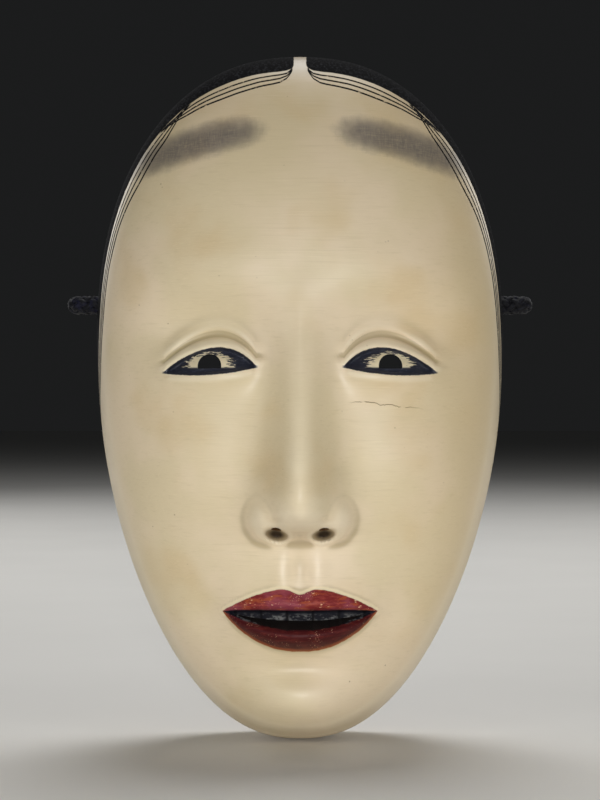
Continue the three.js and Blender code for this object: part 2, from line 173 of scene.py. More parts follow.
def from_nostril(x, z):
    """0 at the middle of a nostril, 1 on its rim."""
    outward = np.abs(x) - NOSTRIL_X
    return np.hypot(outward / 3.7, (z - NOSTRIL_Z - 0.12 * outward) / 2.1)


def nose(x, z):
    ridge, wide = through(RIDGE_HEIGHT, z), through(RIDGE_WIDTH, z)
    bridge = ridge * bell(x / wide) + 0.28 * ridge * bell(x / (2.1 * wide))
    height, middle_x, middle_z, across, tall = NOSE_WING
    wing = height * (1 - ((np.abs(x) - middle_x) / across) ** 2 - ((z - middle_z) / tall) ** 2)
    return smooth_max(bridge, wing, 4.0) - 4.5 * smoothstep(1.2, 0.3, from_nostril(x, z))


def forms(x, z):
    """Forehead, eye sockets, cheeks, nose, muzzle and chin, as heights on the dome."""
    return sum(swelling(form, x, z) for form in FORMS.values()) + nose(x, z)


def eye_lines(x, z):
    """Position along the eye, -1 at its inner corner to 1 at its outer, and the upper and lower lids' z."""
    u = (np.abs(x) - EYE_X) / ((EYE_OUT - EYE_IN) / 2)
    inside = np.clip(u, -1, 1)
    base = EYE_Z - 0.8 * u
    upper = base + 6.0 * (1 - inside**2) ** 0.9 * (1 - 0.25 * inside)
    lower = base - 1.3 * (1 - inside**2)
    return u, upper, lower


def lids(x, z):
    u, upper, lower = eye_lines(x, z)
    above, below = z - upper, lower - z
    across = smoothstep(1.05, 0.85, np.abs(u))
    beside = smoothstep(1.4, 0.65, np.abs(u))
    within = smooth_max(above, below, 0.6)
    opening = -2.0 * smoothstep(0.4, -0.9, within) * across * (0.45 + 0.55 * smoothstep(-4, 0, above))
    fold = 4.2 - u * u
    return (opening
            + 1.2 * beside * bell((above - 1.5) / 1.7)
            - 0.9 * beside * bell((above - fold) / 1.05)
            + 0.6 * beside * bell((above - fold - 2.4) / 2.1)
            + 0.6 * beside * bell((below - 1.6) / 1.9))


def mouth_lines(x):
    """Position across the mouth, 0 to 1 at its corner, with the lips' outer and inner edges."""
    t = np.clip(np.abs(x) / MOUTH_HALF_WIDTH, 0, 1)
    line = MOUTH_Z + 1.2 * t * t
    top = line + 9.0 * (1 - t**1.9) ** 0.95 - 2.1 * bell(x / 3.2)
    bottom = line - 10.6 * (1 - t**2.2) ** 0.9
    gap_top = line + 2.2 * (1 - t**3)
    gap_bottom = line - 3.4 * (1 - t**2.6)
    return t, top, bottom, gap_top, gap_bottom


def lips(x, z):
    t, top, bottom, gap_top, gap_bottom = mouth_lines(x)
    across = smoothstep(1.05, 0.88, np.abs(x) / MOUTH_HALF_WIDTH)
    up = np.clip((top - z) / np.maximum(top - gap_top, 0.3), 0, 1)
    down = np.clip((z - bottom) / np.maximum(gap_bottom - bottom, 0.3), 0, 1)
    upper = 3.2 * np.sin(np.pi / 2 * np.clip(1.2 * up, 0, 1)) - 1.5 * smoothstep(0.66, 1, up)
    lower = 4.4 * np.sin(np.pi / 2 * np.clip(1.25 * down, 0, 1)) - 1.6 * smoothstep(0.7, 1, down)
    height = np.where(z > (gap_top + gap_bottom) / 2, upper * (1 - t**2.5), lower * (1 - t**2.2))
    border = 0.45 * bell((z - top) / 0.8) * across
    teeth = 0.8 * np.abs(np.cos(np.pi * x / TOOTH_WIDTH)) ** 0.4
    recess = smoothstep(0.5, -0.9, z - gap_top) * smoothstep(-0.5, 0.6, z - gap_bottom) * across
    return height * (1 - recess) + (teeth - 1.6) * recess + border


def front_y(x, z):
    detail = forms(x, z) + lids(x, z) + lips(x, z)
    return -(SIDE_WALL + dome(x, z) + detail * smoothstep(1, 0.86, spread(x, z)))


HOLLOW_X = (HALF_WIDTH - RIM_WIDTH) / HALF_WIDTH
HOLLOW_Z = (HALF_HEIGHT - RIM_WIDTH) / HALF_HEIGHT


def hollow_y(x, z):
    rest = np.clip(1 - spread(x / HOLLOW_X, z / HOLLOW_Z), 0, 1)
    return -(HOLLOW_WALL + HOLLOW_DOME * np.sqrt(rest) + swelling(NOSE_HOLLOW, x, z))


def gouged_y(x, z):
    """The hollow with the shallow scallops that a round gouge leaves."""
    across = np.abs(np.sin(np.pi * (x / 6.5 + 0.35 * np.sin(z / 17))))
    along = 0.75 + 0.25 * np.sin(z / 5 + 2.3 * np.round(x / 6.5))
    return hollow_y(x, z) + 0.5 * across * along


def rim_y(z):
    return -EDGE_RELIEF * smoothstep(RELIEF_HALF_SPAN, RELIEF_HALF_SPAN - 14, np.abs(z))


def reach(dx, dz, scale_x=1.0, scale_z=1.0):
    """Distance from the face's centre to the outline in direction (dx, dz), by bisection."""
    near, far = np.zeros_like(dx), np.full_like(dx, 2 * HALF_HEIGHT)
    for _ in range(50):
        r = (near + far) / 2
        inside = spread(r * dx / scale_x, (CENTRE_Z + r * dz) / scale_z) < 1
        near, far = np.where(inside, r, near), np.where(inside, far, r)
    return near


def spaced(count, density, start=0.0, end=1.0):
    """count + 1 values from start to end, closer together where density is higher."""
    x = np.linspace(start, end, 4001)
    total = np.concatenate([[0], np.cumsum((density(x[1:]) + density(x[:-1])) / 2)])
    return np.interp(np.linspace(0, total[-1], count + 1), total, x)


SKIN_ANGLES, FACE_RINGS, HOLLOW_RINGS = 440, 140, 48
WALL_RINGS = 6
RIM_BEVEL, HOLLOW_BEVEL = 0.9, (0.6, 0.5)  # the rim's rounded outer edge; its inner edge's width and depth


def mask_skin(angles=SKIN_ANGLES):
    """Rows of points from the middle of the face to the outline, over the rim and into the hollow."""
    def facing(a):
        eyes = bell((np.abs(a - np.pi / 2) - 0.85) / 0.35)
        mouth = bell((a - 1.5 * np.pi) / 0.5) + bell((a + 0.5 * np.pi) / 0.5)
        return 1 + 0.9 * eyes + 0.9 * mouth

    turn = spaced(angles, facing, -np.pi / 2, 1.5 * np.pi)[:-1]
    dx, dz = np.cos(turn), np.sin(turn)
    outer, inner = reach(dx, dz), reach(dx, dz, HOLLOW_X, HOLLOW_Z)

    def face_density(s):
        slope = 0.5 * np.maximum(1 - s**2.3, 1e-4) ** -0.56
        return np.hypot(1, slope) * (0.55 + 0.75 * bell((s - 0.44) / 0.24))

    def hollow_density(s):
        return np.hypot(1, 0.6 * np.maximum(1 - s**2.3, 1e-3) ** -0.5)

    def row(length, share, height):
        x, z = length * share * dx, CENTRE_Z + length * share * dz
        return np.column_stack([x, height(x, z), z])

    rows = [row(outer, s, front_y) for s in spaced(FACE_RINGS, face_density)[1:]]
    for y in np.linspace(-SIDE_WALL, -RIM_BEVEL, WALL_RINGS + 1)[1:]:
        rows.append(row(outer, 1, lambda x, z: rim_y(z) + y * (SIDE_WALL + rim_y(z)) / SIDE_WALL))
    for a in (0.5, 1.0):
        rows.append(row(outer - RIM_BEVEL * a, 1, lambda x, z: rim_y(z) - RIM_BEVEL * (1 - a) ** 2))
    rows.append(row(inner + HOLLOW_BEVEL[0], 1, lambda x, z: rim_y(z)))
    rows.append(row(inner, 1, lambda x, z: rim_y(z) - HOLLOW_BEVEL[1]))
    for s in spaced(HOLLOW_RINGS, hollow_density)[:0:-1]:
        rows.append(row(inner, s, gouged_y))
    middle = np.array([0.0, CENTRE_Z])
    points = np.vstack(rows + [[[0, front_y(*middle), CENTRE_Z]], [[0, gouged_y(*middle), CENTRE_Z]]])
    last = len(rows) - 1
    faces = []
    for i in range(angles):
        k = (i + 1) % angles
        faces.append((len(points) - 2, i, k))
        faces.append((last * angles + i, len(points) - 1, last * angles + k))
        for j in range(last):
            faces.append((j * angles + i, (j + 1) * angles + i, (j + 1) * angles + k, j * angles + k))
    return points, faces


# ---- mesh helpers ----
def to_frame(points):
    placed = np.asarray(points, float) * UNIT
    placed[:, 2] += MIDDLE_Z
    return placed


def to_face(points):
    units = np.asarray(points, float) / UNIT
    units[:, 2] -= MIDDLE_Z / UNIT
    return units


def coordinates(mesh):
    flat = np.empty(len(mesh.vertices) * 3)
    mesh.vertices.foreach_get("co", flat)
    return flat.reshape(-1, 3)


def new_piece(name, points, faces):
    mesh = bpy.data.meshes.new(name)
    mesh.from_pydata(np.asarray(points).tolist(), [], faces)
    mesh.update()
    piece = bpy.data.objects.new(name, mesh)
    bpy.context.scene.collection.objects.link(piece)
    return piece


def store(mesh, name, values):
    """A value or a vector per vertex, for the material to read."""
    values = np.asarray(values, np.float32)
    kind, field = ("FLOAT", "value") if values.ndim == 1 else ("FLOAT_VECTOR", "vector")
    mesh.attributes.new(name, kind, "POINT").data.foreach_set(field, values.ravel())


def apply_modifiers(piece):
    graph = bpy.context.evaluated_depsgraph_get()
    graph.update()
    baked = bpy.data.meshes.new_from_object(piece.evaluated_get(graph))
    piece.modifiers.clear()
    piece.data = baked


def cut(piece, cutter):
    modifier = piece.modifiers.new("cut", "BOOLEAN")
    modifier.object, modifier.operation, modifier.solver = cutter, "DIFFERENCE", "MANIFOLD"
    apply_modifiers(piece)
    bpy.data.objects.remove(cutter)


def angles_round(count):
    return 2 * np.pi * np.arange(count) / count


def unit(vectors):
    return vectors / np.linalg.norm(vectors, axis=-1, keepdims=True)


def ring_faces(rings, around, closed=False):
    """Quads between rings of points, with an end face on each open end."""
    faces = []
    for j in range(rings if closed else rings - 1):
        a, b = j * around, ((j + 1) % rings) * around
        for i in range(around):
            k = (i + 1) % around
            faces.append((a + i, a + k, b + k, b + i))
    if not closed:
        faces.append(tuple(range(around))[::-1])
        faces.append(tuple((rings - 1) * around + i for i in range(around)))
    return faces


def prism(outline, y_front, y_back, slope=lambda x, y: 0.0):
    """A closed prism along Y, from an outline of (x, z) in face units. slope lifts it as it runs back."""
    points = [[x, y, z + slope(x, y)] for y in (y_front, y_back) for x, z in outline]
    faces = ring_faces(2, len(outline))
    area = sum(a[0] * b[1] - b[0] * a[1] for a, b in zip(outline, outline[1:] + outline[:1]))
    if area > 0:
        faces = [face[::-1] for face in faces]
    return new_piece("cutter", to_frame(points), faces)


def cone(start, end, start_r, end_r, sides=48):
    """A closed round plug between two points in face units."""
    start, end = np.array(start, float), np.array(end, float)
    along = unit(end - start)
    u = unit(np.cross(along, [0.31, 0.2, 0.93]))  # any direction that no plug runs along
    v = np.cross(along, u)
    rings = ((start, start_r), (end, end_r))
    points = [c + r * (np.cos(a) * u + np.sin(a) * v) for c, r in rings for a in angles_round(sides)]
    return new_piece("cutter", to_frame(points), ring_faces(2, sides))


# ---- the carved shell ----
PUPIL_R, PUPIL_SILL, PUPIL_Z = 3.5, 0.8, EYE_Z + 1
CORD_HOLE_R = 3.5
SLIT_HALF_WIDTH, SLIT_SHARE = 19, 0.4  # the slit takes the lower part of the opening, the teeth the rest
SLIT_RISE = 0.2  # the slit slopes up towards the back, so light isn't seen through it
CUT_FRONT, CUT_BACK, SLIT_BACK = -90, -15, -20  # cuts along Y run from in front of the face into the hollow
EYE_WALL, EYE_FLARE_Z, EYE_FLARE_R = 4, EYE_Z + 2, (5, 15)
NOSTRIL_START, NOSTRIL_END, NOSTRIL_R = (-72, NOSTRIL_Z - 4), (-30, NOSTRIL_Z + 12), 1.5  # (y, z) of each end
CORD_HOLE_X = (74.5, 44.5)


def pupil_outline(side):
    arch = [(PUPIL_R * math.cos(a), PUPIL_R * math.sin(a)) for a in np.linspace(0, math.pi, 40)]
    arch += [(-PUPIL_R, -PUPIL_SILL), (PUPIL_R, -PUPIL_SILL)]
    return [(side * EYE_X + x, PUPIL_Z + z) for x, z in arch]


def slit_outline():
    """The gap between the teeth and the lower lip, which closes at both ends."""
    x = np.linspace(-SLIT_HALF_WIDTH, SLIT_HALF_WIDTH, 61)[1:-1]
    gap_top, gap_bottom = mouth_lines(x)[3:]
    upper = gap_bottom + SLIT_SHARE * (gap_top - gap_bottom)
    height = (upper - gap_bottom - 0.1) * np.sqrt(1 - (x / SLIT_HALF_WIDTH) ** 4)
    return list(zip(x, upper - height)) + list(zip(x[::-1], upper[::-1]))


def carve_shell():
    points, faces = mask_skin()
    shell = new_piece("mask_carved", to_frame(points), faces)
    hole_z = to_face([HITCH_CENTRE])[0][2]
    hole_y = to_face([HITCH_CENTRE - HITCH_HALF])[0][1] + CORD_R / UNIT
    for side in (-1, 1):
        x, flare_y = side * EYE_X, front_y(EYE_X, EYE_Z) + EYE_WALL
        cut(shell, prism(pupil_outline(side), CUT_FRONT, CUT_BACK))
        cut(shell, cone((x, flare_y, EYE_FLARE_Z), (x, CUT_BACK, EYE_FLARE_Z), *EYE_FLARE_R))
        start, end = ((side * NOSTRIL_X, *place) for place in (NOSTRIL_START, NOSTRIL_END))
        cut(shell, cone(start, end, NOSTRIL_R, NOSTRIL_R))
        start, end = ((side * hole_x, hole_y, hole_z) for hole_x in CORD_HOLE_X)
        cut(shell, cone(start, end, CORD_HOLE_R, CORD_HOLE_R))

    def rise(x, y):
        return SLIT_RISE * (y - front_y(x, MOUTH_Z))

    cut(shell, prism(slit_outline(), CUT_FRONT, SLIT_BACK, rise))
    return shell


# Hair, by the angle from the crown in degrees: the band's depth, and how far apart the loose strands run.
HAIR_BAND = [(0, 16.7), (14, 16), (28, 13.8), (45, 11.6), (62, 11), (85, 10.6), (98, 9.2), (110, 6),
             (120, 2), (130, -3), (145, -13)]
FRONT_SET = [(0, 0), (1.4, 0), (2.8, 1.1), (5.5, 1.95), (16, 2.2), (27, 1.5), (37, 0), (180, 0)]
SIDE_SET = [(0, 0), (24, 0), (36, 2.0), (46, 2.3), (58, 1.7), (75, 1.3), (100, 1.1), (116, 0.8), (130, 0),
            (180, 0)]
CROWN_Z = 20  # the height that those angles are taken about
PARTING = 1.9  # half the width of the parting that runs up the middle of the hair
RIM_WOOD = 1.2  # the depth that the rim counts as, so that it is bare wood


def hair_fields(x, y, z, at_wall):
    """Distance in from the painted hair's edge, and the spacing of the two sets of loose strands.

    Distances run over the surface from the front edge of the side wall, and are negative on the wall.
    """
    d = 0.3
    level = spread(x, z)
    slope = np.hypot(spread(x + d, z) - spread(x - d, z), spread(x, z + d) - spread(x, z - d)) / (2 * d)
    inward = np.hypot(np.maximum(1 - level, 0) / np.maximum(slope, 1e-3), dome(x, z))
    inward = np.where(at_wall, -SIDE_WALL - y, inward)
    angle = np.degrees(np.arctan2(np.abs(x), z - CROWN_Z))
    from_hair = smooth_max(inward - through(HAIR_BAND, angle), PARTING - np.abs(x), 4.5)
    return from_hair, through(FRONT_SET, angle), through(SIDE_SET, angle)


def paint_fields(shell):
    """Stores where the paint lies, in face units, so that the material follows the carving."""
    x, y, z = to_face(coordinates(shell.data)).T
    level = spread(x, z)
    depth = y - front_y(x, z)
    at_wall = (level > 0.93) & (y > -SIDE_WALL - 0.6)
    depth = np.where(at_wall, y - rim_y(z) + RIM_WOOD, depth)
    u, lid_top, lid_low = eye_lines(x, z)
    top, bottom, gap_top, gap_bottom = mouth_lines(x)[1:]
    from_hair, front_set, side_set = hair_fields(x, y, z, at_wall)
    # how far each point lies below its neighbours, for the grime and painted shade in the hollows and the
    # painted highlight on the ridges
    cavity = 0
    for d, share in ((0.9, 0.4), (2.4, 0.16)):
        around = (front_y(x + d, z) + front_y(x - d, z) + front_y(x, z + d) + front_y(x, z - d)) / 4
        cavity = cavity + share * (front_y(x, z) - around)
    cavity = np.clip(cavity * smoothstep(1, 0.9, level), -1, 1)
    fields = {"depth": depth, "eye_u": u, "lid_top": z - lid_top, "lid_low": z - lid_low, "lip_top": top - z,
              "lip_bottom": z - bottom, "teeth": gap_top - z, "slit": z - gap_bottom, "from_hair": from_hair,
              "front_set": front_set, "side_set": side_set, "cavity": cavity, "nostril": from_nostril(x, z)}
    for name, values in fields.items():
        store(shell.data, name, values)


# ---- material helpers ----
def arithmetic(operation, swapped=False):
    def operate(a, b=0.0):
        return a.shader.math(operation, b, a) if swapped else a.shader.math(operation, a, b)
    return operate


class Value:
    """A number or colour inside a material, with arithmetic that adds Math nodes."""

    def __init__(self, shader, socket):
        self.shader, self.socket = shader, socket

    __add__ = __radd__ = arithmetic("ADD")
    __mul__ = __rmul__ = arithmetic("MULTIPLY")
    __sub__, __rsub__ = arithmetic("SUBTRACT"), arithmetic("SUBTRACT", swapped=True)
    __truediv__, __abs__ = arithmetic("DIVIDE"), arithmetic("ABSOLUTE")


class Shader:
    """One material's nodes. Positions are in millimetres, in the frame at rest."""

    def __init__(self, name):
        self.material = bpy.data.materials.new(name)
        self.material.use_nodes = True
        self.nodes = self.material.node_tree.nodes
        self.nodes.clear()
        place = self.node("ShaderNodeTexCoord").outputs["Object"]
        self.place = self.scaled(place, (1000, 1000, 1000))

    def feed(self, socket, value):
        if isinstance(value, Value):
            value = value.socket
        if isinstance(value, bpy.types.NodeSocket):
            self.material.node_tree.links.new(socket, value)
        else:
            socket.default_value = value

    def node(self, kind, inputs=None, **settings):
        made = self.nodes.new(kind)
        for key, value in settings.items():
            setattr(made, key, value)
        for key, value in (inputs or {}).items():
            self.feed(made.inputs[key], value)
        return made

    def math(self, operation, a, b=0.0):
        return Value(self, self.node("ShaderNodeMath", {0: a, 1: b}, operation=operation).outputs[0])

    def lowest(self, a, b):
        return self.math("MINIMUM", a, b)

    def highest(self, a, b):
        return self.math("MAXIMUM", a, b)

    def scaled(self, vector, factors):
        return self.node("ShaderNodeVectorMath", {0: vector, 1: factors}, operation="MULTIPLY").outputs[0]

    def attribute(self, name):
        return Value(self, self.node("ShaderNodeAttribute", attribute_name=name).outputs["Fac"])

    def attribute_vector(self, name):
        return self.node("ShaderNodeAttribute", attribute_name=name).outputs["Vector"]

    def step(self, value, start, end):
        """0 before start, 1 after end, smooth between."""
        made = self.node("ShaderNodeMapRange", {"Value": value, "From Min": start, "From Max": end},
                         interpolation_type="SMOOTHSTEP")
        return Value(self, made.outputs["Result"])

    def noise(self, stretch, detail=3.0, roughness=0.5, place=None, distortion=0.0):
        """Noise from 0 to 1 around 0.5. stretch is the cycles per millimetre, for all axes or for each."""
        if not isinstance(stretch, tuple):
            stretch = (stretch,) * 3
        vector = self.scaled(place or self.place, stretch)
        made = self.node("ShaderNodeTexNoise", {"Vector": vector, "Scale": 1.0, "Detail": detail,
                                                "Roughness": roughness, "Distortion": distortion})
        return Value(self, made.outputs["Fac"])

    def cells(self, stretch):
        """Distance to the nearest of scattered points."""
        made = self.node("ShaderNodeTexVoronoi", {"Vector": self.scaled(self.place, stretch), "Scale": 1.0})
        return Value(self, made.outputs["Distance"])

    def mix(self, under, over, share):
        """Colours: over laid on under by share."""
        under, over = (c if isinstance(c, Value) else linear(*c) for c in (under, over))
        made = self.node("ShaderNodeMix", {0: share, 6: under, 7: over}, data_type="RGBA")
        return Value(self, made.outputs[2])

    def layers(self, base, *coats):
        """Coats of (colour, share) laid on base in turn. A colour is a Value or (red, green, blue)."""
        for coat, share in coats:
            base = self.mix(base, coat, share)
        return base

    def blend(self, under, over, share):
        """Numbers: from under to over by share."""
        return (over - under) * share + under

    def finish(self, colour, roughness, height=None, bump_mm=0.1, **extras):
        inputs = {"Base Color": colour, "Roughness": roughness}
        for key, value in extras.items():
            inputs[key.replace("_", " ")] = value
        if height is not None:
            inputs["Normal"] = self.node("ShaderNodeBump", {"Height": height, "Distance": bump_mm / 1000,
                                                            "Strength": 1.0}).outputs[0]
        surface = self.node("ShaderNodeBsdfPrincipled", inputs)
        out = self.node("ShaderNodeOutputMaterial")
        self.feed(out.inputs["Surface"], surface.outputs[0])
        return self.material


def linear(red, green, blue):
    """A linear colour from one seen as 0 to 255."""
    shares = (red / 255, green / 255, blue / 255)
    return (*(c / 12.92 if c < 0.0404 else ((c + 0.055) / 1.055) ** 2.4 for c in shares), 1.0)


# ---- materials ----
def aged_skin(s, x, up):
    """Aged shell-white, with mottling, brush marks, grime, specks and a crack, and painted shade and
    highlight; also its relief.
    """
    mottle = s.noise(0.028, 3, 0.55)
    warm = s.noise(0.045, 2, 0.5, place=s.scaled(s.place, (1, 1, -1)))
    brushed = s.noise((0.035, 0.5, 1.5), 3, 0.6)
    fine_brush = s.noise((0.1, 1.5, 5.0), 2, 0.5)
    cavity, nostril = s.attribute("cavity"), s.attribute("nostril")
    specks = s.step(s.cells((0.35, 0.35, 0.35)), 0.12, 0.05) * s.step(s.noise(0.11, 2), 0.6, 0.68)
    wander = s.noise((0.12, 0, 0), 5, 0.65) - 0.5
    crack_line = up + 1.5 + (x / UNIT_MM - 16) * 0.1 + wander * 4.5
    crack = s.step(abs(crack_line), 0.16, 0.05) * s.step(x, 13, 18) * s.step(x, 38, 30)
    crack = crack * s.step(s.noise((0.35, 0, 0), 2), 0.36, 0.46)
    skin = s.layers(
        (222, 205, 169),
        ((230, 211, 180), s.step(mottle, 0.4, 0.62)),
        ((216, 192, 148), s.step(warm, 0.5, 0.75) * 0.65),
        ((198, 179, 138), s.step(brushed, 0.5, 0.8) * 0.28),
        ((238, 222, 188), s.step(fine_brush, 0.5, 0.8) * 0.3),
        ((206, 178, 128), s.step(x, 15, 62) * 0.35),
        # painted shade: the skin turns darker towards the top of the forehead
        ((172, 153, 114), s.step(up, 45, 100) * 0.35),
        # grime and painted shade darken the hollows, and a painted highlight lightens the ridges
        ((160, 142, 100), s.step(cavity, 0.01, 0.14) * 0.5),
        ((245, 232, 204), s.step(cavity, -0.02, -0.14) * 0.4),
        # painted shade in and round the nostrils
        ((128, 108, 78), s.step(nostril, 1.15, 0.45) * 0.85),
        ((52, 40, 28), s.step(nostril, 0.75, 0.3)),
        ((138, 112, 74), specks * 0.6),
        ((132, 106, 70), crack * 0.65),
        # darker near the hair: grime and painted shade
        ((172, 152, 114), s.step(s.attribute("from_hair"), 13, -3) * 0.4),
        # painted shade: darker still along the top edge
        ((138, 120, 88), s.step(up, 95, 103) * 0.65))
    return skin, brushed * 0.35 + fine_brush * 0.25 + s.noise(0.35, 3) * 0.5 - crack * 1.6


BROW_X, BROW_Z, BROW_TILT = 31.5, 76, math.radians(15)
BROW_HALF_LENGTH, BROW_HALF_HEIGHT, BROW_ARCH = 22.5, 6.2, 1.6


def smudged_brows(s, ax, up):
    """How thickly charcoal is smudged on, brushed both ways."""
    bx, bz = ax - BROW_X, up - BROW_Z
    along = (bx * math.cos(BROW_TILT) - bz * math.sin(BROW_TILT)) / BROW_HALF_LENGTH
    across = bx * math.sin(BROW_TILT) + bz * math.cos(BROW_TILT) + along * along * BROW_ARCH
    across = across / BROW_HALF_HEIGHT
    strokes = s.noise((2.4, 0.5, 0.25), 3, 0.65) * 0.45 + s.noise((0.22, 0.6, 3.4), 3, 0.65) * 0.55
    ragged = s.noise((0.3, 0.2, 0.3), 3, 0.6) - 0.5
    from_middle = along * along * along * along + across * across + ragged * 0.5 + (strokes - 0.5) * 0.9
    return s.step(from_middle, 1.2, 0.0) * (s.step(strokes, 0.3, 0.65) * 0.3 + 0.7) * 0.84


def painted_hair(s):
    """The black band along the top edge, parted in the middle, with three loose strands to each set."""
    from_hair = s.attribute("from_hair")
    hair = s.step(from_hair + (s.noise(0.5, 2) - 0.5) * 0.3, 0.12, -0.12)
    wander = (s.noise(0.09, 2) - 0.5) * 0.7
    strands = 0.0
    for name in ("front_set", "side_set"):
        gap = s.attribute(name)
        present = s.step(gap, 0.04, 0.2)
        for k in (1, 2, 3):
            off = abs(from_hair - gap * k + wander)
            strands = s.highest(strands, s.step(off, 0.5, 0.24) * present)
    strands = strands * s.step(s.noise(0.8, 2), 0.2, 0.4)
    combed = s.noise((1.5, 0.1, 1.5), 3, 0.6)
    return s.layers((7, 7, 8), ((38, 38, 41), s.step(combed, 0.44, 0.72))), s.highest(hair, strands)


def painted_eyes(s, ax, up):
    """Indigo-black almonds, with cream dry-brushed round the pupil holes, and the distance from a hole."""
    lid_top = s.attribute("lid_top")
    ragged = (s.noise(0.9, 3, 0.6) - 0.5) * 0.5
    inside = s.lowest(lid_top * -1 + 0.25, s.attribute("lid_low") + 0.45) + ragged
    almond = s.step(inside, -0.08, 0.14) * s.step(abs(s.attribute("eye_u")), 1.07, 1.0)
    ex, ez = ax - EYE_X, up - PUPIL_Z
    from_pupil = s.math("SQRT", ex * ex + ez * ez * 1.25) - PUPIL_R
    streaks = s.noise((0.5, 0.5, 2.8), 2, 0.6)
    reach_out = from_pupil - (streaks - 0.42) * 10 + s.step(ez, 1.2, 4.2) * 2.3
    cream = s.step(reach_out, 2.6, 1.7) * s.step(ez, -0.8, -0.2) * s.step(lid_top, -0.35, -0.9)
    worn = s.step(s.noise((0.5, 1.5, 2.4), 3, 0.65), 0.5, 0.75) * 0.6
    return s.layers((36, 38, 49), ((84, 88, 104), worn), ((226, 212, 178), cream)), almond, from_pupil


def painted_mouth(s, ax):
    """Coats for the mouth's cream edge, its crimson lips, browner below, and its blackened teeth.

    Also gives the lips' dry brush marks, for the relief.
    """
    lip_bottom, teeth, slit = (s.attribute(name) for name in ("lip_bottom", "teeth", "slit"))
    wobble = (s.noise(0.55, 2) - 0.5) * 0.5
    corner = s.step(ax, MOUTH_HALF_WIDTH + 0.4, MOUTH_HALF_WIDTH - 0.3)
    lip_edge = s.lowest(s.attribute("lip_top"), lip_bottom) + wobble
    lower = s.step(slit, 1.0, -0.6)
    dry = s.noise((0.35, 0.6, 1.4), 4, 0.65)
    red = s.layers(
        (122, 40, 42),
        ((156, 72, 62), s.step(dry, 0.42, 0.68)),
        ((150, 76, 96), s.step(s.noise(0.12, 2), 0.5, 0.62) * 0.45),
        ((172, 86, 48), s.step(s.noise((0.2, 0.3, 0.8), 3), 0.54, 0.68) * 0.7))
    brown = s.layers((72, 24, 25), ((98, 38, 34), s.step(dry, 0.45, 0.7)))
    flecks = s.step(s.cells((0.55, 0.8, 1.3)), 0.3, 0.16) * s.step(s.noise(0.2, 3), 0.52, 0.58) * (1 - lower)
    fine_flecks = s.step(s.cells((1.7, 1.4, 2.0)), 0.28, 0.12) * s.step(s.noise(0.3, 3), 0.5, 0.6)
    lips_paint = s.layers(
        s.mix(red, brown, lower),
        ((226, 190, 150), s.highest(flecks, fine_flecks * 0.7) * 0.9),
        ((166, 92, 52), s.step(lip_bottom + wobble, 1.5, 0.2) * 0.8))
    between_teeth = s.step(abs(s.math("COSINE", ax * math.pi / TOOTH_WIDTH)), 0.3, 0.05)
    scuffs = s.step(s.noise((0.45, 0.4, 0.9), 4, 0.7), 0.47, 0.62) * s.step(teeth, 0.6, 2.6)
    bite = s.layers((23, 24, 31), ((124, 124, 122), scuffs * 0.7), ((14, 14, 18), between_teeth))
    coats = [((240, 226, 190), s.step(abs(lip_edge + 0.45), 0.85, 0.1) * corner * (1 - lower * 0.7) * 0.7),
             (lips_paint, s.step(lip_edge, -0.05, 0.2) * corner),
             (bite, s.step(s.lowest(teeth, slit) + wobble * 0.4, -0.1, 0.25) * corner)]
    return coats, dry


def inner_wood(s, ax, up, from_pupil):
    """Lacquered, worn wood with its grain up the block, and where it shows; also its grain and fibre."""
    depth = s.attribute("depth")
    grain = s.noise((0.5, 0.5, 0.018), 4, 0.6, distortion=0.6)
    fibre = s.noise((3.0, 3.0, 0.07), 2, 0.5)
    # the walls of the mouth slit and pupil holes go near-black: their blackening, and painted shade inside
    # the openings
    mouth_wall = s.step(ax, 22, 20.5) * s.step(abs(up - MOUTH_Z), 9, 7) * s.step(depth, 12, 9)
    eye_wall = s.step(from_pupil, 1.2, 0.7) * s.step(depth, 5, 3)
    wood = s.layers(
        (112, 74, 42),
        ((156, 112, 66), s.step(grain, 0.38, 0.66)),
        ((84, 52, 30), s.step(fibre, 0.55, 0.8) * 0.5),
        ((66, 42, 27), s.step(s.noise(0.035, 3), 0.48, 0.7) * 0.55),
        ((30, 24, 22), s.highest(mouth_wall, eye_wall)))
    return wood, s.step(depth + (s.noise(0.7, 3) - 0.5) * 0.6, 0.5, 0.85), grain, fibre


def painted_wood():
    s = Shader("painted_wood")
    parts = s.node("ShaderNodeSeparateXYZ", {0: s.place})
    x = Value(s, parts.outputs[0])
    ax = abs(x) / UNIT_MM
    up = (Value(s, parts.outputs[2]) - MIDDLE_Z * 1000) / UNIT_MM
    skin, skin_relief = aged_skin(s, x, up)
    hair_paint, hair = painted_hair(s)
    eye_paint, almond, from_pupil = painted_eyes(s, ax, up)
    mouth_coats, dry = painted_mouth(s, ax)
    wood, bare, grain, fibre = inner_wood(s, ax, up, from_pupil)
    brows = ((70, 68, 74), smudged_brows(s, ax, up))
    surface = s.layers(skin, brows, (hair_paint, hair), (eye_paint, almond), *mouth_coats, (wood, bare))

    lips_share, bite_share = mouth_coats[1][1], mouth_coats[2][1]
    dark_paint = s.highest(hair, s.highest(almond, bite_share)) * (1 - bare)
    matt_lip = lips_share * (1 - bare)
    roughness = s.blend(0.38 + s.noise(0.06, 3) * 0.16, 0.34, dark_paint * 0.6)
    roughness = s.blend(roughness, 0.85, hair)
    roughness = s.blend(roughness, 0.46 + fibre * 0.25, bare)
    relief = s.blend(skin_relief + matt_lip * dry * 0.8, grain * 1.2 + fibre * 0.8, bare)
    specular = s.blend(s.blend(s.blend(0.42, 0.25, bare), 0.14, matt_lip), 0.04, hair)
    coat = s.blend(0.12, 0.0, s.highest(s.highest(hair, bare), matt_lip))
    return s.finish(surface, roughness, relief, 0.09, Specular_IOR_Level=specular, Coat_Weight=coat,
                    Coat_Roughness=0.3)


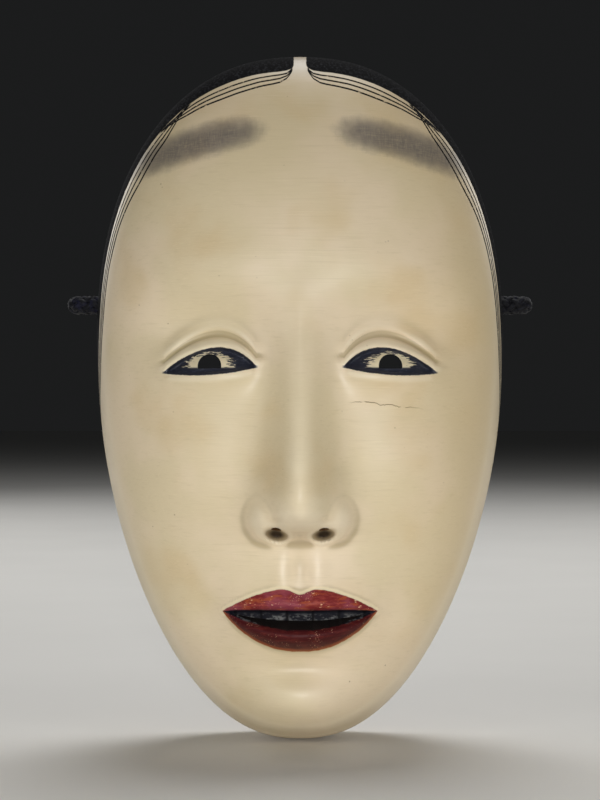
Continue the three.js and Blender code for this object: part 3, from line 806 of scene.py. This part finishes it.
def pad_cloth():
    s = Shader("pad_cloth")
    warp = s.attribute_vector("weave")
    parts = s.node("ShaderNodeSeparateXYZ", {0: warp})
    u, v = Value(s, parts.outputs[0]), Value(s, parts.outputs[1])
    threads_u, threads_v = s.math("SINE", u * 6.5), s.math("SINE", v * 6.5)
    weave = s.highest(threads_u * 0.5 + 0.5, threads_v * 0.5 + 0.5)
    stain = s.noise(0.06, 3)
    cloth = s.layers((224, 213, 186), ((194, 176, 140), s.step(stain, 0.45, 0.7) * 0.7),
                     # painted shade in the holes between the threads
                     ((150, 132, 100), s.step(weave, 0.75, 0.2) * 0.5))
    return s.finish(cloth, 0.92, weave * 0.8 + s.noise(0.9, 3) * 0.4, 0.12, Sheen_Weight=0.3)


def cord_silk(name="cord_silk", dark=(8, 8, 12), light=(34, 35, 47), scale=1.0):
    s = Shader(name)
    fibre = s.noise((0.12 * scale, 2.4 * scale, 2.4 * scale), 3, 0.6, place=s.attribute_vector("strand"))
    indigo = ((22, 22, 52), s.step(s.noise(0.25, 2), 0.52, 0.72) * 0.5)
    tint = s.layers(dark, (light, s.step(fibre, 0.45, 0.78)), indigo)
    return s.finish(tint, 0.58 + fibre * 0.25, fibre, 0.14, Sheen_Weight=0.02, Sheen_Roughness=0.4,
                    Specular_IOR_Level=0.24)


# ---- pads: two sheets sewn round the edge, blown up as cloth, then laid in the hollow ----
def pillow_grid(columns, rows):
    """A flat closed bag with rounded corners, -1 to 1 each way. One sheet's points come first, in rows."""
    index, points = {}, []
    for top in (0, 1):
        for j in range(rows + 1):
            for i in range(columns + 1):
                edge = i in (0, columns) or j in (0, rows)
                if edge and top:
                    index[top, j, i] = index[0, j, i]
                    continue
                u, v = 2 * i / columns - 1, 2 * j / rows - 1
                lift = 0 if edge else (0.03 if top else -0.03)
                points.append((u * math.sqrt(1 - v * v / 4), v * math.sqrt(1 - u * u / 4), lift))
                index[top, j, i] = len(points) - 1
    faces = []
    for j in range(rows):
        for i in range(columns):
            corners = [(j, i), (j, i + 1), (j + 1, i + 1), (j + 1, i)]
            faces.append(tuple(index[(1, *c)] for c in corners))
            faces.append(tuple(index[(0, *c)] for c in corners[::-1]))
    return points, faces


CLOTH_SCALE = 10  # the pads are blown up at ten times their size, where the cloth solver works well
SIM_FRAMES = 24
PRESSURE = 5.0
PAD_GRID = 0.0011  # metres between a pad's points
PAD_INSET = 0.99
WIDE_PAD_THICK, PAD_THICK = 0.008, 0.007
PAD_CLEARANCE = 0.0011  # from the hollow's wall to the seam
PAD_FREE_SIDE, PAD_WALL_SIDE = 1.55, 0.25  # how much of the swelling goes to each side of the seam
MOST_SHIFT = 0.003  # the farthest that the swelling draws a point sideways
LEAST_SWELLING = 0.0005  # below this the cloth wasn't run, and a plain cushion shape stands in


def blow_up(piece):
    """Swells a flat bag with Blender's cloth, and keeps the result as plain mesh."""
    cloth = piece.modifiers.new("cloth", "CLOTH")
    settings = cloth.settings
    settings.use_pressure = True
    settings.uniform_pressure_force = PRESSURE
    settings.quality = 6
    settings.mass = 0.3
    settings.tension_stiffness = settings.compression_stiffness = 25
    settings.bending_stiffness = 0.8
    settings.air_damping = 2
    settings.effector_weights.gravity = 0
    scene = bpy.context.scene
    for number in range(1, SIM_FRAMES + 1):
        scene.frame_set(number)
        bpy.context.view_layer.update()
    apply_modifiers(piece)
    scene.frame_set(1)


def pad(node, body, material):
    centre, half = centre_and_half(node)
    thick = WIDE_PAD_THICK if half[0] > half[2] * 1.5 else PAD_THICK
    columns, rows = int(round(half[0] / PAD_GRID)), int(round(half[2] / PAD_GRID))
    points, faces = pillow_grid(columns, rows)
    flat = np.array(points) * [half[0] * PAD_INSET, half[2] * PAD_INSET, 0.01]
    piece = new_piece(node + "_cloth", flat * CLOTH_SCALE, faces)
    blow_up(piece)
    swollen = coordinates(piece.data) / CLOTH_SCALE
    if np.abs(swollen[:, 2]).max() < LEAST_SWELLING:
        u, v = flat[:, 0] / half[0], flat[:, 1] / half[2]
        swollen[:, 2] = np.sign(flat[:, 2]) * thick / 2 * np.clip((1 - u**4) * (1 - v**4), 0, 1) ** 0.5
    swollen[:, 2] *= thick / 2 / np.abs(swollen[:, 2]).max()
    moved = flat[:, :2] + np.clip(swollen[:, :2] - flat[:, :2], -MOST_SHIFT, MOST_SHIFT)
    x, z = centre[0] + moved[:, 0], centre[2] + moved[:, 1]
    face_x, face_z = x / UNIT, (z - MIDDLE_Z) / UNIT
    e = 0.5
    slope_x = (hollow_y(face_x + e, face_z) - hollow_y(face_x - e, face_z)) / (2 * e)
    slope_z = (hollow_y(face_x, face_z + e) - hollow_y(face_x, face_z - e)) / (2 * e)
    normal = unit(np.column_stack([-slope_x, np.ones_like(x), -slope_z]))
    height = PAD_CLEARANCE + swollen[:, 2] * np.where(swollen[:, 2] > 0, PAD_FREE_SIDE, PAD_WALL_SIDE)
    placed = np.column_stack([x, hollow_y(face_x, face_z) * UNIT, z]) + normal * height[:, None]
    piece.data.vertices.foreach_set("co", placed.ravel())
    piece.data.update()
    store(piece.data, "weave", flat * 1000)
    smooth = piece.modifiers.new("smooth", "SUBSURF")
    smooth.levels = smooth.render_levels = 1
    apply_modifiers(piece)
    piece.data.shade_smooth()
    dress(piece, material, "pad_cloth", body, node)
    pad_seam(node, placed, normal, columns, rows, body)


# One stitch's path, as its height off the cloth, its way in from the edge and its way along the edge.
STITCH = ((-0.0004, 0.0013, -0.0004), (0.0002, 0.0007, -0.0001), (0.0012, 0.0013, 0.0003),
          (0.0018, 0.0025, 0.0006))
STITCH_R, STITCH_SPACING, LOOK_AHEAD = 0.00028, 0.0026, 0.0004


def pad_seam(node, placed, normal, columns, rows, body):
    """Small overcast stitches round the pad's edge, where its two sheets are sewn together."""
    edge = [(0, i) for i in range(columns)] + [(j, columns) for j in range(rows)]
    edge += [(rows, i) for i in range(columns, 0, -1)] + [(j, 0) for j in range(rows, 0, -1)]
    order = [j * (columns + 1) + i for j, i in edge + edge[:1]]
    loop, out = placed[order], normal[order]
    length = running_length(loop)
    centre = loop[:-1].mean(0)
    count = int(length[-1] / STITCH_SPACING)
    parts = []
    for at in length[-1] * (np.arange(count) + 0.5) / count:
        spot, up = at_length(loop, length, at), at_length(out, length, at)
        ahead = unit(at_length(loop, length, at + LOOK_AHEAD) - spot)
        inward = centre - spot
        inward = unit(inward - (ahead * inward.dot(ahead) + up * inward.dot(up)))
        arc = np.array([spot + up * a + inward * b + ahead * c for a, b, c in STITCH])
        parts.append(tube(arc, STITCH_R, 6))
    stitches = strand_piece(node + "_stitches", parts, np.vstack([points for points, _ in parts]) * 1000)
    dress(stitches, stitch_thread, "pad_cloth", body)


# ---- cords ----
def running_length(path):
    return np.concatenate([[0], np.cumsum(np.linalg.norm(np.diff(path, axis=0), axis=1))])


def at_length(values, length, at):
    """Values per point of a path, read off at distances along it."""
    return np.stack([np.interp(at, length, values[:, c]) for c in range(3)], axis=-1)


def tangents(path, closed):
    return unit(np.roll(path, -1, 0) - np.roll(path, 1, 0) if closed else np.gradient(path, axis=0))


def frames_along(path, closed):
    """Two directions across the path at each point, turned as little as possible."""
    tangent = tangents(path, closed)
    side = np.cross(tangent[0], [0.13, 0.17, 0.98] if abs(tangent[0][2]) < 0.9 else [0.1, 0.99, 0.1])
    sides = []
    for t in tangent:
        side = unit(side - t * side.dot(t))
        sides.append(side)
    sides = np.array(sides)
    return sides, np.cross(tangent, sides)


def rings_round(path, u, v, around):
    """Rings of points round a path. u and v reach from its middle to the ring's sides, at each point."""
    a = angles_round(around)
    ring = np.cos(a)[None, :, None] * u[:, None] + np.sin(a)[None, :, None] * v[:, None]
    return (path[:, None] + ring).reshape(-1, 3)


def tube(path, radius, around, closed=False):
    """A round tube; radius is a number or one per point."""
    u, v = frames_along(path, closed)
    radius = np.broadcast_to(radius, len(path))[:, None]
    return rings_round(path, u * radius, v * radius, around), ring_faces(len(path), around, closed)


def strand_piece(name, parts, strand):
    """One piece from several (points, faces), with the place on its strands for the material."""
    faces, base = [], 0
    for points, part_faces in parts:
        faces += [tuple(base + n for n in face) for face in part_faces]
        base += len(points)
    piece = new_piece(name, np.vstack([points for points, _ in parts]), faces)
    store(piece.data, "strand", strand)
    piece.data.shade_smooth()
    return piece


def smooth_path(points, spacing, closed=False):
    """Evenly spaced points on a centripetal Catmull-Rom curve."""
    p = [np.array(q, float) for q in points]
    p = [p[-1]] + p + p[:2] if closed else [2 * p[0] - p[1]] + p + [2 * p[-1] - p[-2]]
    fine = []
    for a, b, c, d in zip(p, p[1:], p[2:], p[3:]):
        gaps = [max(np.linalg.norm(n - m), 1e-9) ** 0.5 for m, n in ((a, b), (b, c), (c, d))]
        knots = np.cumsum([0] + gaps)
        for t in np.linspace(knots[1], knots[2], 40, endpoint=False):
            def between(m, n, i, k):
                return ((knots[k] - t) * m + (t - knots[i]) * n) / (knots[k] - knots[i])
            ab, bc, cd = between(a, b, 0, 1), between(b, c, 1, 2), between(c, d, 2, 3)
            fine.append(between(between(ab, bc, 0, 2), between(bc, cd, 1, 3), 1, 2))
    fine = np.array(fine + [p[-2]])
    length = running_length(fine)
    count = max(4, int(round(length[-1] / spacing)))
    even = at_length(fine, length, np.linspace(0, length[-1], count + 1))
    return even[:-1] if closed else even


BRAID_PITCH = 12.5e-3 / 2.9e-3  # the length of one turn of a strand, in radii of the cord
BRAID_STEPS = 20
STRANDS, STRAND_SIDES = 8, 6
STRAND_WIDE, STRAND_THICK = 0.37, 0.27  # half sizes; these and the next two lines are in radii of the cord
WEAVE_MIDDLE, WEAVE_DEPTH = 0.6, 0.13
CORE_R = 0.62
STRAND_RUN = 1400  # millimetres of slanting strand to a metre of cord
STRAND_SHIFT = 97  # makes each strand's fibres differ from the next one's


def braid(name, points, radius, closed=False):
    """A round braid: half the strands wind each way, over one and under the next."""
    spacing = BRAID_PITCH * radius / BRAID_STEPS
    path = smooth_path(points, spacing, closed)
    steps = len(path) if closed else len(path) - 1
    turns = max(1, round(steps / BRAID_STEPS)) if closed else steps / BRAID_STEPS
    u, v = frames_along(path, closed)
    phase = 2 * np.pi * turns * np.arange(len(path)) / steps
    half = STRANDS // 2
    run = np.repeat(np.arange(len(path)) * spacing * STRAND_RUN, STRAND_SIDES)
    a = np.tile(angles_round(STRAND_SIDES), len(path))
    parts, strand = [], []
    for k in range(STRANDS):
        way = 1 if k < half else -1
        angle = way * phase + 2 * np.pi * (k % half) / half
        out = np.cos(angle)[:, None] * u + np.sin(angle)[:, None] * v
        centre = path + out * (radius * (WEAVE_MIDDLE + WEAVE_DEPTH * way * np.cos(half * phase)))[:, None]
        along = tangents(centre, closed)
        beside = unit(np.cross(along, out))
        lift = np.cross(beside, along)
        rings = rings_round(centre, beside * radius * STRAND_WIDE, lift * radius * STRAND_THICK, STRAND_SIDES)
        parts.append((rings, ring_faces(len(path), STRAND_SIDES, closed)))
        strand.append(np.column_stack([run + STRAND_SHIFT * k, np.cos(a), np.sin(a)]))
    parts.append(tube(path, radius * CORE_R, 10, closed))
    strand.append(np.zeros((len(parts[-1][0]), 3)))
    return strand_piece(name, parts, np.vstack(strand))


def dress(piece, material, slot, body, *nodes):
    piece.data.materials.clear()
    piece.data.materials.append(material)
    if nodes:
        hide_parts(*nodes)
    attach(piece, body)


def inset_box(node):
    low, high = box(node)
    return low + CORD_R, high - CORD_R


HITCH_CORNER = 3.1e-3


def hitch_path(node):
    low, high = inset_box(node)
    z = (low[2] + high[2]) / 2
    left, right = low[0] + HITCH_CORNER, high[0] - HITCH_CORNER
    front, back = low[1] + HITCH_CORNER, high[1] - HITCH_CORNER
    points = []
    for x, y, start in ((right, front, -90), (right, back, 0), (left, back, 90), (left, front, 180)):
        for a in np.radians(start + np.linspace(0, 90, 5)):
            points.append((x + HITCH_CORNER * math.cos(a), y + HITCH_CORNER * math.sin(a), z))
    return points


def joint_place(name):
    return np.array(next(j["pos_m"] for j in frame["joints"] if j["name"] == name))


def span_path(node, side):
    """From inside the hitch to inside the knot; both ends lie on the hinges they turn about."""
    near, far = sorted(abs(corner[0]) for corner in box(node))
    start, end = joint_place("cord_swing"), joint_place("bow_hang")
    reach_x, rise = far - near, end[2] - start[2]
    shape = [(1.05, 0, 0), (0.87, 0, 0.012), (0.7, 0.4, 0.24), (0.31, 0.82, 0.72), (0.1, 1, 0.98),
             (-0.05, 1, 1)]
    return [(side * (near + reach_x * a), start[1] + (end[1] - start[1]) * b, start[2] + rise * c)
            for a, b, c in shape]


def loop_path(node, side):
    """Round the loop's box, with both ends tucked in against the knot's back."""
    low, high = inset_box(node)
    far = max(abs(low[0]), abs(high[0]))
    wide, deep, tall = far - KNOT_HALF, high[1] - low[1], high[2] - low[2]
    shape = [(-0.35, -0.65, 0.94), (-0.2, 0.0, 0.97), (0.1, 0.67, 1.0), (0.67, 1, 0.8), (1, 1, 0.35),
             (0.78, 1, 0.0), (0.42, 1, 0.11), (0.17, 0.83, 0.47), (0.06, 0.4, 0.68), (-0.03, 0.0, 0.76),
             (-0.12, -0.65, 0.8)]
    return [(side * (KNOT_HALF + wide * a), low[1] + deep * b, low[2] + tall * c) for a, b, c in shape]


TAIL_TUCK = 0.0015  # how far a tail starts inside the knot


def tail_path(node, side):
    low, high = inset_box(node)
    near, far = sorted((abs(low[0]), abs(high[0])))
    y = (low[1] + high[1]) / 2
    top, end = high[2] + CORD_R, low[2] - CORD_R
    drop = top - end
    return [(side * near, y, top + TAIL_TUCK), (side * (near + 0.25 * (far - near)), y, top - 0.3 * drop),
            (side * far, y, top - 0.75 * drop), (side * far, y, end)]


THREAD_STEPS = 22  # per turn
THREAD_OVERLAP = 1.04  # so that neighbouring turns touch
SLEEVE_REACH = 0.48  # of the thread's length, to each side


def wound_thread(name, node, axis, turns, material, body):
    """Close turns of thread over a sleeve that fills the node's box, round its Y (axis 1) or Z (axis 2)."""
    centre, half = centre_and_half(node)
    length, radius = 2 * half[axis], half[0]
    along, u = np.eye(3)[axis], np.eye(3)[axis - 1]
    v = np.cross(along, u)
    thread_r = length / turns / 2 * THREAD_OVERLAP
    a = np.linspace(0, 2 * np.pi * turns, turns * THREAD_STEPS)
    at = np.linspace(-length / 2 + thread_r, length / 2 - thread_r, len(a))
    out = np.cos(a)[:, None] * u + np.sin(a)[:, None] * v
    helix = centre + along * at[:, None] + (radius - thread_r) * out
    core = centre + along * np.linspace(-SLEEVE_REACH, SLEEVE_REACH, 3)[:, None] * length
    sleeve = tube(core, radius - thread_r, 24)
    wound = np.column_stack([a * radius * 1000, a * 0, a * 0]).repeat(6, 0)
    piece = strand_piece(name, [tube(helix, thread_r, 6), sleeve], np.vstack([wound, sleeve[0] * 1000]))
    dress(piece, material, "thread", body, node)


FRINGE_STRANDS, FRINGE_R = 110, 0.00031
FRINGE_WAIST, FRINGE_MARGIN, FRINGE_TUCK = 0.0022, 0.0004, 0.0015


def fringe(name, node, material, body):
    """The cord's own strands, combed out below the whipping."""
    centre, half = centre_and_half(node)
    length, skirt, top = 2 * half[2], half[0], centre[2] + half[2]
    t = np.linspace(0, 1, 8)
    parts, strand = [], []
    for k in range(FRINGE_STRANDS):
        angle = k * math.pi * (3 - math.sqrt(5))
        share = math.sqrt((k + 0.5) / FRINGE_STRANDS)
        drop = length * (1 - 0.1 * random.random())
        sway = random.normal(0, 0.0003, 2)
        out = share * (FRINGE_WAIST + (skirt - FRINGE_MARGIN - FRINGE_WAIST) * t**0.7)
        swing = angle + 0.5 * random.normal() * t
        path = np.column_stack([centre[0] + out * np.cos(swing) + sway[0] * t,
                                centre[1] + out * np.sin(swing) + sway[1] * t,
                                top + FRINGE_TUCK - (drop + FRINGE_TUCK) * t])
        parts.append(tube(path, FRINGE_R * (1 - 0.45 * t), 5))
        strand.append(parts[-1][0][:, [2, 0, 1]] * 1000 + [7 * k, 0, 0])
    piece = strand_piece(name, parts, np.vstack(strand))
    dress(piece, material, "cord_silk", body, node)


KNOT_TURNS = 4
KNOT_START, KNOT_END = 0.1, KNOT_TURNS - 0.6  # in turns


def knot_path(node):
    """Turns of cord laid side by side round the crossing, and the cord's radius."""
    centre, half = centre_and_half(node)
    cord_r = half[0] / KNOT_TURNS
    a = np.linspace(KNOT_START, KNOT_END, 90) * 2 * np.pi
    x = np.linspace(-half[0] + cord_r, half[0] - cord_r, len(a))
    share = np.linspace(0, 1, len(a))
    tucked = 0.2 + 0.8 * smoothstep(0, 0.06, share) * smoothstep(1, 0.94, share)  # the ends go inwards
    coil = (half[2] - cord_r) * tucked
    points = np.column_stack([centre[0] + x, centre[1] + coil * np.cos(a), centre[2] + coil * np.sin(a)])
    return points[::3], cord_r


# ---- build ----
wood = painted_wood()
silk = cord_silk()
thread = cord_silk("thread", (24, 22, 32), (58, 54, 74), 1.6)
stitch_thread = cord_silk("stitch_thread", (196, 184, 152), (222, 212, 184), 1.0)
cotton = pad_cloth()

shell = carve_shell()
paint_fields(shell)
shell.data.shade_smooth()
shell.data.set_sharp_from_angle(angle=math.radians(50))
dress(shell, wood, "painted_wood", "mask", "mask_shell")

for node in ("forehead_pad", "left_cheek_pad", "right_cheek_pad"):
    pad(node, "mask", cotton)


def cord(name, node, body, points, radius=CORD_R, closed=False):
    dress(braid(name, points, radius, closed), silk, "cord_silk", body, node)


for side, word in ((-1, "left"), (1, "right")):
    hitch, span, tail = word + "_cord_hitch", word + "_cord_span", word + "_cord_tail"
    cord(word + "_hitch_braid", hitch, "mask", hitch_path(hitch), closed=True)
    cord(word + "_span_braid", span, "tied_cord", span_path(span, side))
    cord(word + "_loop_braid", word + "_bow_loop", "bow", loop_path(word + "_bow_loop", side))
    cord(word + "_tail_braid", tail, word + "_tail", tail_path(tail, side))
    wound_thread(word + "_eye_thread", word + "_eye_whipping", 1, 5, thread, "mask")
    wound_thread(word + "_tail_thread", word + "_tail_whipping", 2, 9, thread, word + "_tail")
    fringe(word + "_fringe", word + "_tassel", silk, word + "_tail")
cord("bow_knot_cord", "bow_knot", "bow", *knot_path("bow_knot"))


# ---- studio ----
def area_light(name, location, size, power, target, spread_degrees=180):
    lamp = bpy.data.lights.new(name, "AREA")
    lamp.spread = math.radians(spread_degrees)
    lamp.shape, lamp.size, lamp.energy = "DISK", size, power
    holder = bpy.data.objects.new(name, lamp)
    holder.location = location
    holder.rotation_euler = (Vector(target) - Vector(location)).to_track_quat("-Z", "Y").to_euler()
    bpy.context.scene.collection.objects.link(holder)


SURROUND_LIGHT, SURROUND_SEEN = 0.014, 0.012
FOCUS = (0, -0.03, MIDDLE_Z)
# Each lamp's place, disc size, power and aim, then its spread in degrees where it is kept off the floor.
LAMPS = {
    "key": ((0.05, -1.5, MIDDLE_Z + 0.1), 0.2, 0.6, (0, -0.04, MIDDLE_Z - 0.09), 40),
    "left": ((-1.15, -1.3, MIDDLE_Z + 0.45), 0.4, 0.22, FOCUS, 50),
    "right": ((1.25, -1.2, MIDDLE_Z + 0.45), 0.4, 0.17, FOCUS, 50),
    "top": ((0.1, 0.5, 1.4), 0.9, 12, (0, 0, 0)),
    "back_left": ((-0.9, 1.1, MIDDLE_Z + 0.4), 0.6, 4, FOCUS),
    "back_right": ((1.0, 1.0, MIDDLE_Z + 0.5), 0.6, 3.5, FOCUS),
}
FLOOR_HALF, FLOOR_GAP = 6, 0.0004
CAMERA_LENS, CAMERA_PLACE = 87.5, (0, -0.62, MIDDLE_Z - 0.001)


def studio():
    for name, lamp in LAMPS.items():
        area_light(name, *lamp)
    world = bpy.data.worlds.new("studio")
    bpy.context.scene.world = world
    world.use_nodes = True
    nodes, links = world.node_tree.nodes, world.node_tree.links
    nodes["Background"].inputs["Color"].default_value = (0.95, 0.98, 1.0, 1)
    seen = nodes.new("ShaderNodeMapRange")  # the camera sees the surround as dark as the far floor
    seen.inputs["To Min"].default_value, seen.inputs["To Max"].default_value = SURROUND_LIGHT, SURROUND_SEEN
    links.new(seen.inputs["Value"], nodes.new("ShaderNodeLightPath").outputs["Is Camera Ray"])
    links.new(nodes["Background"].inputs["Strength"], seen.outputs["Result"])
    s = Shader("floor_paper")
    tone = s.mix((226, 224, 219), (218, 216, 211), s.noise(0.01, 3))
    paper = s.finish(tone, 0.9, s.noise(0.6, 3), 0.05)
    corners = [(x * FLOOR_HALF, y * FLOOR_HALF, 0) for x, y in ((-1, -1), (1, -1), (1, 1), (-1, 1))]
    floor = new_piece("floor", corners, [(0, 1, 2, 3)])
    floor.location.z = cad_low.z - FLOOR_GAP
    floor.data.materials.append(paper)


studio()
bpy.context.scene.view_settings.view_transform = "Standard"

camera_data = bpy.data.cameras.new("camera")
camera_data.lens = CAMERA_LENS
camera = bpy.data.objects.new("camera", camera_data)
camera.location = CAMERA_PLACE
camera.rotation_euler = (math.pi / 2, 0, 0)
bpy.context.scene.collection.objects.link(camera)
bpy.context.scene.camera = camera
